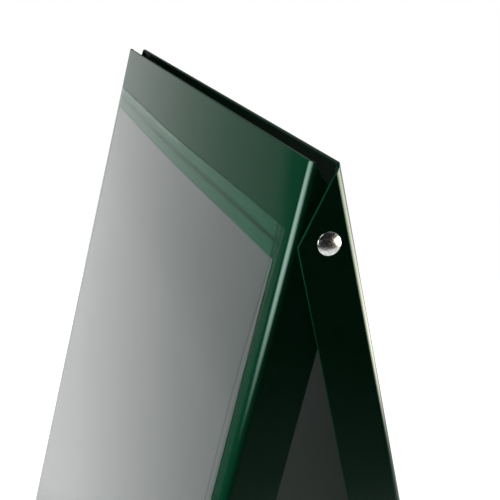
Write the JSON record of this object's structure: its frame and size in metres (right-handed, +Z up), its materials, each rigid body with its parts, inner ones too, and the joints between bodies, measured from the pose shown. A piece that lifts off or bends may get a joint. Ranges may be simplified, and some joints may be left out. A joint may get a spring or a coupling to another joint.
{
  "type": "a-frame sign",
  "caption": "Folding A-frame poster sign of folded sheet trays pivoted near their tops, with clear lift-up covers over blank poster sheets and rubber feet.",
  "frame": {"origin": "on the floor, at the centre of the open sign's footprint", "axes": "+X along the pivot axis to the right as seen from the front, +Y from the front tray to the rear tray, +Z up"},
  "size_m": [0.6466, 0.4726, 0.9551],
  "materials": {
    "green_coat": "gloss dark green powder coat",
    "poster_sheet": "blank satin grey sheet",
    "clear_film": "clear flexible sheet",
    "clear_tape": "hazy clear double-sided tape",
    "magnet_strip": "matt dark magnetic strip",
    "foot_rubber": "matt black rubber",
    "bright_plating": "bright plated",
    "white_nylon": "natural nylon",
    "zinc_steel": "zinc plated"
  },
  "bodies": {
    "front_leg": {"front_panel": "green_coat", "front_poster": "poster_sheet", "front_cover_header": "clear_film", "front_cover_tape": "clear_tape", "front_foot_right": "foot_rubber", "front_foot_left": "foot_rubber", "pivot_bush_right": "white_nylon", "pivot_bush_left": "white_nylon"},
    "rear_leg": {"rear_panel": "green_coat", "rear_poster": "poster_sheet", "rear_cover_header": "clear_film", "rear_cover_tape": "clear_tape", "rear_foot_right": "foot_rubber", "rear_foot_left": "foot_rubber", "pivot_bolt_right": "bright_plating", "pivot_bolt_left": "bright_plating", "pivot_washer_right": "zinc_steel", "pivot_washer_left": "zinc_steel", "lock_nut_right": "zinc_steel", "lock_nut_left": "zinc_steel", "nut_insert_right": "white_nylon", "nut_insert_left": "white_nylon"},
    "front_flap": {"front_cover_flap": "clear_film", "front_magnet_strip": "magnet_strip"},
    "rear_flap": {"rear_cover_flap": "clear_film", "rear_magnet_strip": "magnet_strip"}
  },
  "joints": [
    {"name": "fold", "type": "hinge", "parent": "front_leg", "child": "rear_leg", "pos_m": [0, 0.00313, 0.90493], "axis": [-1, 0, 0], "range_deg": [0, 26.4]},
    {"name": "front_cover_lift", "type": "hinge", "parent": "front_leg", "child": "front_flap", "pos_m": [0, -0.0227, 0.90298], "axis": [-1, 0, 0], "range_deg": [0, 80]},
    {"name": "rear_cover_lift", "type": "hinge", "parent": "rear_leg", "child": "rear_flap", "pos_m": [0, 0.02302, 0.90158], "axis": [1, 0, 0], "range_deg": [0, 80]}
  ]
}
